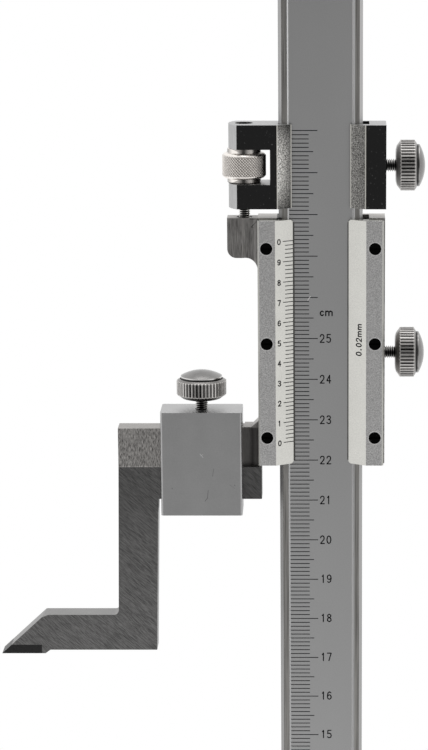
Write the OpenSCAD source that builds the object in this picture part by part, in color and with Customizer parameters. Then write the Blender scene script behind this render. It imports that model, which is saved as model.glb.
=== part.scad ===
// Vernier height gauge, 0 to 250 mm, with a fine adjustment and a carbide-tipped scriber.
// Millimetres. +Z is up the column, +X to the gauge's right, -Y towards the reader.
// The origin lies on the base's underside, below the middle of the column.

/* [Reading] */
// Height of the scriber's measuring face above the surface plate
reading = 224.88; // [0:0.02:250]
// Height of the measuring face below the vernier's zero line
scale_offset = 53.68; // [50:0.02:60]
// Gap between the slider and the fine adjustment carriage
fine_gap = 2.45; // [1:0.05:6]
// Highest reading on the scale
measuring_range = 250; // [200:10:300]

/* [Column] */
// Width of the column
column_w = 20; // [16:0.5:24]
// Thickness of the column
column_t = 6; // [5:0.25:9]
// Column left above the carriage at the highest reading
top_spare = 11.65; // [5:0.05:30]
// Width of each ground rail beside the scale
rail_w = 2.15; // [1.2:0.05:3]
// Depth of the scale face below the rails
scale_recess = 0.35; // [0.1:0.05:0.5]
// Chamfer along the rails' outer edges
rail_chamfer = 0.85; // [0.3:0.05:1.2]
// Overhang of the stop plate at each side of the column
stop_overhang = 2; // [1:0.25:4]
// Thickness of the stop plate
stop_t = 3; // [2:0.25:5]

/* [Base] */
// Length of the base
base_l = 100; // [90:1:130]
// Width of the base
base_w = 60; // [50:1:80]
// Height of the base block
base_h = 22; // [18:0.5:26]
// Distance from the column's axis to the base's left end
base_left = 36; // [26:0.5:38]
// Radius of the base's upright corners
base_corner_r = 8; // [4:0.5:14]
// Chamfer round the base's top
base_chamfer = 2; // [1:0.25:4]
// Top of the socket boss above the surface plate
boss_top = 38; // [30:0.5:44]
// Wall of the boss beside and in front of the column
boss_wall = 4.5; // [3:0.25:8]
// Wall of the boss behind the column, which holds the clamping screws
boss_back_wall = 8; // [6:0.5:12]
// Height of the column's seat above the surface plate
seat_z = 4; // [3:0.5:10]
// Thickness of the pressure plate behind the column
key_t = 3; // [2:0.25:5]
// Radius of the finger grooves along the base's long sides
grip_r = 9; // [7:0.5:12]
// Depth of the finger grooves
grip_depth = 3.5; // [2:0.25:5]
// Length of base left plain at each end of the grooves
grip_inset = 12; // [6:0.5:20]
// Depth of the relief in the underside
relief_depth = 1.5; // [0.5:0.25:3]
// Width of the ground land round the relief
land_w = 8; // [5:0.5:14]
// Radius of the clamping screws
clamp_screw_r = 2.5; // [2:0.25:3]

/* [Slider] */
// Length of the frame behind the vernier and cover plates
plate_len = 59.9; // [54:0.1:70]
// Width of each plate
plate_w = 8.4; // [7:0.05:9]
// Thickness of each plate
plate_t = 2.95; // [2:0.05:4]
// Width of each plate's bevel
bevel_w = 4.2; // [3:0.1:5]
// Thickness left at the bevel's edge
bevel_edge = 0.3; // [0.2:0.05:0.6]
// Chamfer at the two corners of each bevel
plate_corner = 0.45; // [0.2:0.05:1]
// How far each plate reaches in over the scale face
plate_reach = 1.2; // [0.6:0.05:2]
// Height of the vernier's zero line above the plates' lower ends
zero_line_inset = 5.58; // [3:0.02:8]
// Thickness of the frame behind the column
frame_back = 1.6; // [1.2:0.05:3]
// Thickness of the frame's right wall
frame_side = 3.8; // [3:0.05:6]
// Spacing of the plate screws
plate_screw_pitch = 23; // [18:0.5:25]
// Radius of the plate screws' heads
plate_screw_head_r = 1.42; // [1.2:0.02:1.8]
// Radius of the plate screws' shanks
plate_screw_r = 0.9; // [0.7:0.05:1.1]
// Height of the thumbscrew below the cover plate's middle screw
slider_lock_drop = 3; // [2.8:0.05:8]

/* [Jaw and lug] */
// Length of the jaw beyond the frame's left side
jaw_l = 34.15; // [30:0.05:40]
// Height of the jaw
jaw_h = 9.6; // [8:0.1:12]
// Thickness of the jaw and the scriber
jaw_t = 6; // [5:0.1:6.6]
// Height of the jaw's underside above the measuring face
jaw_above_face = 47.15; // [44:0.05:52]
// Length of the lug beyond the frame's left side
lug_l = 7.25; // [6:0.05:10]
// Height of the lug
lug_h = 9.6; // [8:0.1:14]
// Depth of the lug
lug_d = 5.1; // [4.5:0.1:7]
// Rounding of the lug's lower corner
lug_corner_r = 2.2; // [1:0.1:3]
// Radius of the ground hollows beside the frame
hollow_r = 4; // [3:0.1:5]
// Depth of the hollow in the jaw's root
jaw_hollow_depth = 1.8; // [1:0.1:2.2]
// Slanting corner where the jaw's top meets the frame
gusset = 1.8; // [1:0.1:3]
// Depth of the hollow in the lug
lug_hollow_depth = 0.4; // [0.2:0.05:1.2]

/* [Carriage] */
// Height of the carriage
carriage_h = 19.9; // [18:0.1:26]
// Depth of the carriage in front of the column
carriage_front = 2.45; // [2:0.05:4]
// Wall of the carriage behind the column
carriage_back_wall = 1; // [0.8:0.05:3]
// Thickness of the carriage's right wall
carriage_side = 4; // [3:0.05:6]
// Distance from the fine screw to the carriage's left side
carriage_left = 3.7; // [3:0.05:5]
// Height of the window for the fine nut
window_h = 8.3; // [7:0.02:11]
// Wall between the window and the column
window_wall = 1.9; // [1.2:0.05:2.5]
// Distance from the column's axis to the inner edge of the left lip
left_lip_in = 6.85; // [6:0.05:7.6]
// Width of the left lip's bevel
left_lip_w = 3.5; // [2.5:0.05:4.2]
// Distance from the column's axis to the inner edge of the right lip
right_lip_in = 7; // [6:0.05:7.6]
// Width of the right lip's bevel
right_lip_w = 3.75; // [2.5:0.05:4.2]
// Radius of the carriage's rounded left end
carriage_nose_r = 7.05; // [5.5:0.05:12]
// Width of the slot for the gib beside the column
gib_slot = 1.5; // [1:0.05:2]

/* [Fine adjustment] */
// Distance from the column's axis to the fine screw
fine_x = 18.2; // [17.5:0.05:19]
// Radius of the fine screw
fine_screw_r = 1.4; // [1.1:0.05:1.5]
// Length of the fine screw above the lug
fine_screw_l = 19.5; // [15:0.1:22]
// Radius of the clearance holes in the carriage
fine_hole_r = 2.15; // [2:0.05:2.5]
// Radius of the nut's knurled rim
nut_r = 5.2; // [4.5:0.05:5.5]
// Rounding of the rim's two shoulders
nut_round_r = 1; // [0.4:0.05:1.4]
// Radius of the nut's collars
nut_collar_r = 4; // [3.2:0.01:4.2]
// Height of the nut's lower and upper collars
nut_collar_h = 1.05; // [0.6:0.05:1.8]

/* [Thumbscrews] */
// Radius of the knobs
knob_r = 6; // [5:0.05:6.4]
// Length of the grooved rim
knob_rim_l = 3.3; // [2.5:0.1:5]
// Number of grooves in each rim
knob_grooves = 44; // [24:1:50]
// Radius of each groove
groove_r = 0.25; // [0.15:0.05:0.35]
// Length of the tapered neck inside the rim
knob_neck_l = 1.2; // [0.5:0.05:2]
// Radius of the knob's inner face
knob_neck_r = 3.8; // [3:0.05:4.5]
// Radius of the shoulder on the neck
knob_shoulder_r = 4.7; // [4.55:0.05:5]
// Distance of that shoulder from the inner face
knob_shoulder_l = 0.25; // [0.1:0.05:0.45]
// Length of the chamfer at the knob's outer end
knob_chamfer = 0.5; // [0.3:0.05:1]
// Radius of the domed caps
cap_r = 5; // [4:0.05:5.3]
// Height of the cap's plain edge above the knob
cap_edge = 0.65; // [0.2:0.05:1]
// Height of the dome
dome_h = 1.35; // [0.8:0.05:2]
// Radius of the studs
stud_r = 1.5; // [1.25:0.05:1.75]
// Length of stud that shows under the carriage's knob
carriage_stud_gap = 2.3; // [1.5:0.05:4]
// Length of stud that shows under the slider's knob
slider_stud_gap = 2.5; // [1.5:0.05:4]
// Length of stud that shows under the clamp's knob
clamp_stud_gap = 2.5; // [1.5:0.05:4]

/* [Scriber clamp] */
// Width of the clamp
clamp_w = 19.7; // [16:0.1:24]
// Height of the clamp
clamp_h = 25.5; // [24:0.1:30]
// Depth of the clamp
clamp_d = 10.6; // [9:0.1:14]
// Distance from the column's axis to the clamp's right side
clamp_right = 19.1; // [19:0.05:24]
// Floor of the clamp below the scriber
clamp_floor = 3.55; // [2.5:0.05:5]
// Room between the jaw and the clamp's roof
clamp_headroom = 0.55; // [0.3:0.05:1.5]

/* [Scriber] */
// Height of the scriber's shank
shank_h = 7.95; // [6:0.05:9]
// Length of the shank to the right of the leg
shank_l = 25.25; // [22:0.05:28]
// Width of the upright leg at its top
leg_w = 9.55; // [8:0.05:12]
// Lean of the leg's outer side, in degrees
leg_lean_out = 0.9; // [0:0.1:2]
// Lean of the leg's inner side, in degrees
leg_lean_in = 1.2; // [0:0.1:2]
// Gap between the leg and the clamp
leg_gap = 0.85; // [0.2:0.05:1.5]
// Height of the foot
foot_h = 9.85; // [7:0.05:12]
// Fillet between the leg and the foot
foot_fillet = 1.2; // [0.5:0.1:3]
// Reach of the point beyond the leg's outer side
foot_l = 28.9; // [24:0.1:34]
// Slope of the point, in degrees
point_angle = 42.8; // [35:0.1:55]
// Length of the carbide tip along the measuring face
tip_l = 9.85; // [7:0.05:11]
// Thickness of the carbide tip
tip_t = 2.2; // [1.2:0.1:3]
// Step from the measuring face up to the foot's underside
face_step = 0.9; // [0.3:0.05:1.5]
// Length of the measuring face
face_l = 10.7; // [10.2:0.1:14]
// Length of the slope up from the measuring face
face_slope_l = 1.2; // [0.5:0.1:3]
// Depth ground off the front corner between the slope and the foot's top
corner_grind = 0.35; // [0.1:0.05:0.6]

/* [Hidden] */
$fn = 64;

eps = 0.01;          // overlap that joins solids of one piece
cut = 1;             // how far a cutter runs past a face
run_gap = 0.05;      // sliding clearance on each face
seat_gap = 0.02;     // gap at a face that only rests or presses
thread_gap = 0.05;   // radial clearance of a screw in its hole
plate_inset = 0.1;   // plates start this far above the frame's lower end
plate_seam = 0.3;    // plates end this far below the frame's top

// Column
half_w = column_w / 2;
half_t = column_t / 2;
scale_half = half_w - rail_w;
plate_above_face = scale_offset - zero_line_inset;
column_top = measuring_range + plate_above_face + plate_len + fine_gap + carriage_h + top_spare;
stop_screw_l = 8;     // length of the stop screw in the column

// Base
base_right = base_l - base_left;
boss_half = half_w + run_gap + boss_wall;
boss_front = -half_t - run_gap - boss_wall;
key_y = half_t + seat_gap;
pocket_back = key_y + key_t + run_gap;
boss_back = pocket_back + boss_back_wall;
boss_corner_r = 2;
boss_chamfer = 1;
clamp_screw_sink = 0.5;  // how far the clamping screws lie below the boss
socket_depth = 2.5;      // depth of their hexagon sockets
clamp_screw_z = (base_h + boss_top) / 2;
clamp_screw_x = half_w / 2;
key_top = boss_top - cut;

// Slider
front_y = -half_t - run_gap;
plate_front = front_y - plate_t;
plate_in = scale_half - plate_reach;
plate_out = plate_in + plate_w;
plate_z = reading + plate_above_face;
frame_z = plate_z;
frame_top = frame_z + plate_len;
frame_left = -plate_out;
frame_right = half_w + run_gap + gib_slot + frame_side;
frame_back_y = half_t + run_gap + frame_back;
slot_x = half_w + run_gap + gib_slot;
plate_screw_x = plate_out - 2.1;
plate_screw_hold = 3; // length of each plate screw in the frame
plate_screw_z = frame_z + plate_len / 2;
slider_lock_z = plate_screw_z - slider_lock_drop;
gib_t = gib_slot - run_gap;
gib_w = column_t - 4 * run_gap;
set_screw_r = 1;
set_screw_inset = 14;

// Jaw and lug
jaw_left = frame_left - jaw_l;
jaw_z = reading + jaw_above_face;
jaw_top = jaw_z + jaw_h;
jaw_back = front_y + jaw_t;
jaw_mid = front_y + jaw_t / 2;
jaw_root = 3.6;      // length of the thicker root beside the frame
lug_fillet = 3;      // fillet under the lug
lug_left = frame_left - lug_l;
lug_z = frame_top - lug_h;
jaw_hollow_w = 2.7;   // width of the hollow in the jaw's root
lug_hollow_w = 2;     // width of the hollow in the lug's root
jaw_hollow_x = frame_left - jaw_hollow_w;
lug_hollow_x = frame_left - lug_hollow_w;

// Carriage
carriage_z = frame_top + fine_gap;
carriage_top = carriage_z + carriage_h;
carriage_y = front_y - carriage_front;
carriage_back = half_t + run_gap + carriage_back_wall;
carriage_right = slot_x + carriage_side;
carriage_x = -fine_x - carriage_left;
fine_y = front_y + lug_d / 2;
window_z = carriage_z + (carriage_h - window_h) / 2;
window_x = -half_w - run_gap - window_wall;
left_lip_out = left_lip_in + left_lip_w;
right_lip_out = right_lip_in + right_lip_w;
carriage_lock_z = carriage_z + carriage_h / 2 - 0.15;

// Fine adjustment
nut_h = window_h - 2 * run_gap;
nut_z = window_z + run_gap;
fine_screw_hold = 7;  // length of the fine screw in the lug
screw_bottom = frame_top - fine_screw_hold;

// Thumbscrews
knob_len = knob_neck_l + knob_rim_l + knob_chamfer;
cap_recess = 0.5;       // how deep the cap is let in
cap_seat = knob_len - cap_recess;
cap_gap = 0.2;        // groove round the cap
stud_in_knob = cap_seat - cap_recess;

// Scriber and its clamp
shank_top = jaw_z - seat_gap;
shank_z = shank_top - shank_h;
clamp_z = shank_z - run_gap - clamp_floor;
clamp_top = clamp_z + clamp_h;
clamp_x1 = -clamp_right;
clamp_x0 = clamp_x1 - clamp_w;
clamp_mid = (clamp_x0 + clamp_x1) / 2;
leg_right = clamp_x0 - leg_gap;
leg_left = leg_right - leg_w;
foot_z = reading + face_step;
foot_top = reading + foot_h;
foot_root = leg_left - (shank_top - foot_top) * tan(leg_lean_out);
foot_right = leg_right - (shank_z - foot_z) * tan(leg_lean_in);
point_x = foot_root - foot_l;
slope_top_x = point_x + foot_h / tan(point_angle);

// A rectangle from one corner to the other
module rect(x0, y0, x1, y1) {
    translate([x0, y0]) square([x1 - x0, y1 - y0]);
}

// A rectangle whose four corners are round
module round_rect(x0, y0, x1, y1, r) {
    rect(x0 + r, y0, x1 - r, y1);
    rect(x0, y0 + r, x1, y1 - r);
    for (x = [x0 + r, x1 - r], y = [y0 + r, y1 - r]) translate([x, y]) circle(r);
}

// A box from one corner to the other
module box(a, b) {
    translate(a) cube(b - a);
}

// A rod between two heights, with its ends chamfered
module rod(r, z0, z1, c = 0) {
    translate([0, 0, z0 + c]) cylinder(r = r, h = z1 - z0 - 2 * c);
    if (c > 0) {
        translate([0, 0, z0]) cylinder(r1 = r - c, r2 = r, h = c);
        translate([0, 0, z1 - c]) cylinder(r1 = r, r2 = r - c, h = c);
    }
}

// Base block: rounded plan, chamfered top, raised socket boss
module base_block() {
    intersection() {
        linear_extrude(base_h)
            round_rect(-base_left, -base_w / 2, base_right, base_w / 2, base_corner_r);
        rotate([90, 0, 0]) linear_extrude(base_w + cut, center = true)
            chamfered_front(-base_left, base_right, base_h, base_chamfer);
        rotate([90, 0, 90]) linear_extrude(2 * base_l, center = true)
            chamfered_front(-base_w / 2, base_w / 2, base_h, base_chamfer);
    }
    translate([0, 0, base_h - eps]) intersection() {
        linear_extrude(boss_top - base_h + eps)
            round_rect(-boss_half, boss_front, boss_half, boss_back, boss_corner_r);
        rotate([90, 0, 0]) linear_extrude(base_w, center = true)
            chamfered_front(-boss_half, boss_half, boss_top - base_h + eps, boss_chamfer);
    }
}

// Upright outline with its two top corners chamfered
module chamfered_front(x0, x1, h, c) {
    polygon([[x0, 0], [x1, 0], [x1, h - c], [x1 - c, h], [x0 + c, h], [x0, h - c]]);
}

module base() {
    grip_y = base_w / 2 + grip_r - grip_depth;
    grip_z = base_h / 2;
    color("#7d8083") difference() {
        base_block();
        box([-half_w - run_gap, front_y, seat_z], [half_w + run_gap, pocket_back, boss_top + cut]);
        for (s = [-1, 1]) translate([grip_inset - base_left, s * grip_y, grip_z])
            rotate([0, 90, 0]) cylinder(r = grip_r, h = base_l - 2 * grip_inset);
        box([half_w + land_w, land_w - base_w / 2, -cut],
            [base_right - land_w, base_w / 2 - land_w, relief_depth]);
        for (s = [-1, 1]) translate([s * clamp_screw_x, boss_back + cut, clamp_screw_z])
            rotate([90, 0, 0]) cylinder(r = clamp_screw_r + thread_gap, h = boss_back_wall + 2 * cut);
    }
}

// Cross-section of the column: two ground rails beside a slightly sunken scale face
module column_section() {
    c = rail_chamfer;
    polygon([
        [-half_w, -half_t + c], [-half_w + c, -half_t], [-scale_half, -half_t],
        [-scale_half + scale_recess, -half_t + scale_recess],
        [scale_half - scale_recess, -half_t + scale_recess], [scale_half, -half_t],
        [half_w - c, -half_t], [half_w, -half_t + c],
        [half_w, half_t - c], [half_w - c, half_t], [-half_w + c, half_t], [-half_w, half_t - c]
    ]);
}

module column() {
    color("#8d8d8d") difference() {
        translate([0, 0, seat_z]) linear_extrude(column_top - seat_z) column_section();
        translate([0, 0, column_top - stop_screw_l - cut])
            cylinder(r = clamp_screw_r / 2 + thread_gap, h = stop_screw_l + 2 * cut);
    }
}

// Plate between the clamping screws and the column
module pressure_plate() {
    color("#9a9a98")
        box([-half_w + 1, key_y, seat_z + 1], [half_w - 1, key_y + key_t, key_top]);
}

// Socket set screws that press the plate against the column
module clamping_screws() {
    y0 = key_y + key_t + seat_gap;
    screw_back = boss_back - clamp_screw_sink;
    color("#26262a") for (s = [-1, 1]) translate([s * clamp_screw_x, 0, clamp_screw_z])
        rotate([-90, 0, 0]) difference() {
            rod(clamp_screw_r, y0, screw_back, 0.4);
            translate([0, 0, screw_back - socket_depth])
                cylinder(r = clamp_screw_r * 0.58, h = socket_depth + cut, $fn = 6);
        }
}

// Plate across the column's top, which stops the carriage
module stop_plate() {
    w = half_w + stop_overhang;
    color("#9c9c9a") difference() {
        translate([0, 0, column_top]) linear_extrude(stop_t)
            round_rect(-w, carriage_y, w, carriage_back, 1.5);
        translate([0, 0, column_top - cut])
            cylinder(r = clamp_screw_r / 2 + thread_gap, h = stop_t + 2 * cut);
    }
}

module stop_screw() {
    r = clamp_screw_r / 2;
    color("#26262a") difference() {
        union() {
            rod(r, column_top - stop_screw_l, column_top + stop_t + 1, 0.2);
            translate([0, 0, column_top + stop_t]) rod(2 * r, 0, 1.8, 0.3);
        }
        box([-3 * r, -0.3, column_top + stop_t + 1], [3 * r, 0.3, column_top + stop_t + 2 + cut]);
    }
}

// Plan of the carriage: a block round the column, with two bevelled lips over its rails
module carriage_plan() {
    difference() {
        union() {
            rect(-fine_x, carriage_y, carriage_right, carriage_back);
            intersection() {
                rect(carriage_x, carriage_y, eps - fine_x, carriage_back);
                translate([carriage_x + carriage_nose_r, fine_y]) circle(carriage_nose_r, $fn = 120);
            }
        }
        rect(-half_w - run_gap, front_y, slot_x, half_t + run_gap);
        polygon([
            [-left_lip_out, carriage_y - cut], [-left_lip_out, carriage_y],
            [-left_lip_in, front_y - bevel_edge], [-left_lip_in, front_y + cut],
            [right_lip_in, front_y + cut], [right_lip_in, front_y - bevel_edge],
            [right_lip_out, carriage_y], [right_lip_out, carriage_y - cut]
        ]);
    }
}

module carriage() {
    color("#2b2b2d") difference() {
        translate([0, 0, carriage_z]) linear_extrude(carriage_h) carriage_plan();
        box([carriage_x - cut, carriage_y - cut, window_z],
            [window_x, carriage_back + cut, window_z + window_h]);
        translate([-fine_x, fine_y, carriage_z - cut])
            cylinder(r = fine_hole_r, h = carriage_h + 2 * cut);
        translate([slot_x - cut, 0, carriage_lock_z]) rotate([0, 90, 0])
            cylinder(r = stud_r + thread_gap, h = carriage_side + 2 * cut);
    }
}

// Flat spring between the column's right edge and a clamping screw
module gib(z0, z1) {
    color("#8a8a86") box([half_w + seat_gap, -gib_w / 2, z0], [half_w + seat_gap + gib_t, gib_w / 2, z1]);
}

module carriage_gib() { gib(carriage_z + 1, carriage_top - 1); }
module slider_gib() { gib(frame_z + 1, frame_top - 1); }

// Threaded stud of a thumbscrew, from its tip up into the knob; z = 0 is the clamped wall's face
module lock_stud(depth, gap) {
    color("#1d1d1f") rod(stud_r, -depth, gap + stud_in_knob, 0.25);
}

// Half outline of the knob, with a recess for the cap and a bore for the stud
module knob_profile() {
    polygon([
        [stud_r + thread_gap, 0], [knob_neck_r, 0], [knob_shoulder_r, knob_shoulder_l],
        [knob_r, knob_neck_l], [knob_r, knob_neck_l + knob_rim_l], [cap_r + cap_gap, knob_len],
        [cap_r + cap_gap, cap_seat], [stud_r + thread_gap, cap_seat]
    ]);
}

// Knurled knob: straight round-bottomed grooves along the rim
module lock_knob(gap) {
    color("#85837e") translate([0, 0, gap]) intersection() {
        rotate_extrude() knob_profile();
        linear_extrude(knob_len) difference() {
            circle(knob_r);
            for (i = [0:knob_grooves - 1]) rotate(360 / knob_grooves * i)
                translate([knob_r, 0]) circle(groove_r, $fn = 24);
        }
    }
}

// Domed cap let into the knob's outer face
module lock_cap(gap) {
    ball_r = (cap_r * cap_r + dome_h * dome_h) / (2 * dome_h);
    dome_base = knob_len + cap_edge;
    color("#8f8d88") translate([0, 0, gap]) rotate_extrude() union() {
        rect(0, cap_seat + seat_gap, cap_r, dome_base + eps);
        intersection() {
            translate([0, dome_base + dome_h - ball_r]) circle(ball_r, $fn = 180);
            rect(0, dome_base, cap_r, dome_base + dome_h + cut);
        }
    }
}

// Where each thumbscrew stands: its clamped wall's face and its axis
module at_carriage_lock() {
    translate([carriage_right, 0, carriage_lock_z]) rotate([0, 90, 0]) children();
}
module at_slider_lock() {
    translate([frame_right, 0, slider_lock_z]) rotate([0, 90, 0]) children();
}
module at_clamp_lock() {
    translate([clamp_mid, jaw_mid, clamp_top]) children();
}

side_stud_tip = slot_x - (half_w + seat_gap + gib_t + seat_gap);

module carriage_lock_stud() {
    at_carriage_lock() lock_stud(carriage_side + side_stud_tip, carriage_stud_gap);
}
module carriage_lock_knob() { at_carriage_lock() lock_knob(carriage_stud_gap); }
module carriage_lock_cap() { at_carriage_lock() lock_cap(carriage_stud_gap); }
module slider_lock_stud() {
    at_slider_lock() lock_stud(frame_side + side_stud_tip, slider_stud_gap);
}
module slider_lock_knob() { at_slider_lock() lock_knob(slider_stud_gap); }
module slider_lock_cap() { at_slider_lock() lock_cap(slider_stud_gap); }
module clamp_lock_stud() {
    at_clamp_lock() lock_stud(clamp_top - jaw_top - seat_gap, clamp_stud_gap);
}
module clamp_lock_knob() { at_clamp_lock() lock_knob(clamp_stud_gap); }
module clamp_lock_cap() { at_clamp_lock() lock_cap(clamp_stud_gap); }

// Captive nut of the fine adjustment: a knurled rim between two plain collars
module fine_nut() {
    round_r = nut_round_r;
    rim0 = nut_collar_h;
    rim1 = nut_h - nut_collar_h;
    bore = fine_screw_r + thread_gap;
    color("#b5ada3") translate([-fine_x, fine_y, nut_z]) rotate_extrude() {
        rect(bore, 0, nut_collar_r, nut_h);
        rect(bore, rim0, nut_r - round_r, rim1);
        rect(bore, rim0 + round_r, nut_r, rim1 - round_r);
        for (z = [rim0 + round_r, rim1 - round_r]) translate([nut_r - round_r, z])
            circle(round_r, $fn = 32);
    }
}

module fine_screw() {
    color("#6c6a67") translate([-fine_x, fine_y, 0])
        rod(fine_screw_r, screw_bottom, frame_top + fine_screw_l, 0.3);
}

// Plan of the slider's frame: a channel behind the column
module frame_plan() {
    difference() {
        rect(frame_left, front_y, frame_right, frame_back_y);
        rect(-half_w - run_gap, front_y - cut, slot_x, half_t + run_gap);
    }
}

// Lug that holds the fine screw, seen from the front
module lug_outline() {
    r = lug_corner_r;
    difference() {
        union() {
            rect(lug_left + r, lug_z, frame_left + eps, frame_top);
            rect(lug_left, lug_z + r, frame_left, frame_top);
            translate([lug_left + r, lug_z + r]) circle(r);
            rect(frame_left - lug_fillet, lug_z - lug_fillet, frame_left + eps, lug_z + eps);
        }
        translate([frame_left - lug_fillet, lug_z - lug_fillet]) circle(lug_fillet);
    }
}

// Jaw that carries the clamp, seen from the front
module jaw_outline() {
    rect(jaw_left, jaw_z, frame_left + eps, jaw_top);
    polygon([[frame_left + eps, jaw_top - eps], [frame_left - gusset, jaw_top - eps],
             [frame_left + eps, jaw_top + gusset]]);
}

// Extrudes an outline drawn in X and Z from one depth to another
module deep(y0, y1) {
    translate([0, y1, 0]) rotate([90, 0, 0]) linear_extrude(y1 - y0) children();
}

// Round-bottomed upright hollow, cut from the front and kept clear of the frame
module hollow(x, depth, z0, z1) {
    y = front_y + depth - hollow_r;
    intersection() {
        translate([x, y, z0]) cylinder(r = hollow_r, h = z1 - z0);
        box([x - hollow_r, y - hollow_r, z0], [frame_left, front_y + hollow_r, z1]);
    }
}

module slider_frame() {
    sink_h = 0.5;  // countersink round the fine screw
    bore_r = fine_screw_r + thread_gap;
    color("#77756f") difference() {
        union() {
            translate([0, 0, frame_z]) linear_extrude(plate_len) frame_plan();
            deep(front_y, front_y + lug_d) lug_outline();
            deep(front_y, jaw_back) jaw_outline();
            deep(jaw_back - eps, frame_back_y)
                rect(frame_left - jaw_root, jaw_z, frame_left + eps, jaw_top);
        }
        hollow(jaw_hollow_x, jaw_hollow_depth, jaw_z - cut, jaw_top + 2 * gusset);
        hollow(lug_hollow_x, lug_hollow_depth, lug_z - 2 * lug_fillet, frame_top + cut);
        translate([-fine_x, fine_y, screw_bottom])
            cylinder(r = bore_r, h = frame_top - screw_bottom + cut);
        translate([-fine_x, fine_y, frame_top - sink_h])
            cylinder(r1 = bore_r, r2 = bore_r + sink_h, h = sink_h + eps);
        translate([slot_x - cut, 0, slider_lock_z]) rotate([0, 90, 0])
            cylinder(r = stud_r + thread_gap, h = frame_side + 2 * cut);
        for (z = [frame_z + set_screw_inset, frame_top - set_screw_inset])
            translate([slot_x - cut, 0, z]) rotate([0, 90, 0])
                cylinder(r = set_screw_r + thread_gap, h = frame_side + 2 * cut);
        for (s = [-1, 1]) at_plate_screws(s)
            cylinder(r = plate_screw_r + thread_gap, h = plate_t + plate_screw_hold + 0.3);
    }
}

// Places a screw at each of the three holes of one plate, its axis into the frame
module at_plate_screws(side) {
    for (i = [-1:1]) translate([side * plate_screw_x, plate_front, plate_screw_z + i * plate_screw_pitch])
        rotate([-90, 0, 0]) children();
}

// Plan of a plate on the right-hand side: bevelled towards the scale, chamfered outside
module plate_plan() {
    c = 0.4;
    polygon([
        [plate_in, front_y], [plate_in, front_y - bevel_edge], [plate_in + bevel_w, plate_front],
        [plate_out - c, plate_front], [plate_out, plate_front + c], [plate_out, front_y]
    ]);
}

// Outline of a plate on the right-hand side, with the bevel's corners taken off
module plate_outline(z0, z1) {
    c = plate_corner;
    polygon([
        [plate_in + c, z0], [plate_out + cut, z0], [plate_out + cut, z1], [plate_in + c, z1],
        [plate_in, z1 - c], [plate_in, z0 + c]
    ]);
}

module plate(side) {
    z0 = plate_z + plate_inset;
    z1 = frame_top - plate_seam;
    turn = [side < 0 ? 1 : 0, 0];
    color("#a9a8a4") difference() {
        intersection() {
            translate([0, 0, z0]) linear_extrude(z1 - z0) mirror(turn) plate_plan();
            deep(plate_front - cut, front_y + cut) mirror(turn) plate_outline(z0, z1);
        }
        at_plate_screws(side) {
            translate([0, 0, -cut]) cylinder(r = plate_screw_r + thread_gap, h = plate_t + 2 * cut);
            translate([0, 0, -eps])
                cylinder(r = plate_screw_head_r + thread_gap, h = plate_screw_head_r * 0.6);
        }
    }
}

// One slotted screw with its head flush in the plate
module plate_screw() {
    head_h = plate_screw_head_r * 0.6 - seat_gap;
    difference() {
        union() {
            cylinder(r = plate_screw_head_r, h = head_h);
            rod(plate_screw_r, 0, plate_t + plate_screw_hold, 0.2);
        }
        box([-plate_screw_head_r - cut, -0.2, -cut], [plate_screw_head_r + cut, 0.2, 0.35]);
    }
}

module vernier_plate() { plate(-1); }
module cover_plate() { plate(1); }
module vernier_plate_screws() { color("#161618") at_plate_screws(-1) plate_screw(); }
module cover_plate_screws() { color("#161618") at_plate_screws(1) plate_screw(); }

// Small slotted screws in the frame's right wall that set the gib
module gib_set_screws() {
    x0 = half_w + seat_gap + gib_t + seat_gap;
    color("#26262a") for (z = [frame_z + set_screw_inset, frame_top - set_screw_inset])
        translate([0, 0, z]) rotate([0, 90, 0]) difference() {
            rod(set_screw_r, x0, frame_right - 0.3, 0.15);
            box([-2 * set_screw_r, -0.2, frame_right - 0.8], [2 * set_screw_r, 0.2, frame_right + cut]);
        }
}

// Clamp that holds the scriber up against the jaw
module scriber_clamp() {
    r = 0.6;
    slot_y0 = front_y - run_gap;
    slot_y1 = jaw_back + run_gap;
    color("#7e7e7c") difference() {
        translate([0, 0, clamp_z]) linear_extrude(clamp_h)
            round_rect(clamp_x0, jaw_mid - clamp_d / 2, clamp_x1, jaw_mid + clamp_d / 2, r);
        box([clamp_x0 - cut, slot_y0, shank_z - run_gap],
            [clamp_x1 + cut, slot_y1, jaw_top + clamp_headroom]);
        translate([clamp_mid, jaw_mid, jaw_top])
            cylinder(r = stud_r + thread_gap, h = clamp_top - jaw_top + cut);
    }
}

// Scriber seen from the front: shank, slightly leaning leg and foot with a sloped point
module scriber_outline() {
    face_end = point_x + face_l;
    polygon([
        [leg_right + shank_l, shank_z], [leg_right + shank_l, shank_top], [leg_left, shank_top],
        [foot_root, foot_top], [slope_top_x, foot_top], [point_x, reading], [face_end, reading],
        [face_end + face_slope_l, foot_z], [foot_right, foot_z], [leg_right, shank_z]
    ]);
    r = foot_fillet;
    a = leg_lean_out;
    centre = [foot_root - r * (1 - sin(a)) / cos(a), foot_top + r];
    difference() {
        polygon([
            centre, centre - [0, r + cut], [foot_root + cut, centre[1] - r - cut],
            centre + (r + cut) * [cos(a), -sin(a)]
        ]);
        translate(centre) circle(r + eps, $fn = 96);
    }
}

// Wedge that takes off the front corner between the slope and the foot's top
module corner_wedge() {
    l = 2 * foot_h;
    sharp = jaw_t / 8; // length of the corner left sharp at the back
    translate([slope_top_x, jaw_back - sharp, foot_top]) rotate([0, -point_angle / 2, 0])
        rotate([atan(corner_grind / (jaw_t - sharp)), 0, 0])
            box([-l / 2, -jaw_t - cut, 0], [l / 2, jaw_t, l / 2]);
}

// Outline of the carbide tip under the point
module tip_outline() {
    back = tip_t / tan(point_angle);
    polygon([
        [point_x, reading], [point_x + tip_l, reading], [point_x + tip_l, reading + tip_t],
        [point_x + back, reading + tip_t]
    ]);
}

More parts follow.
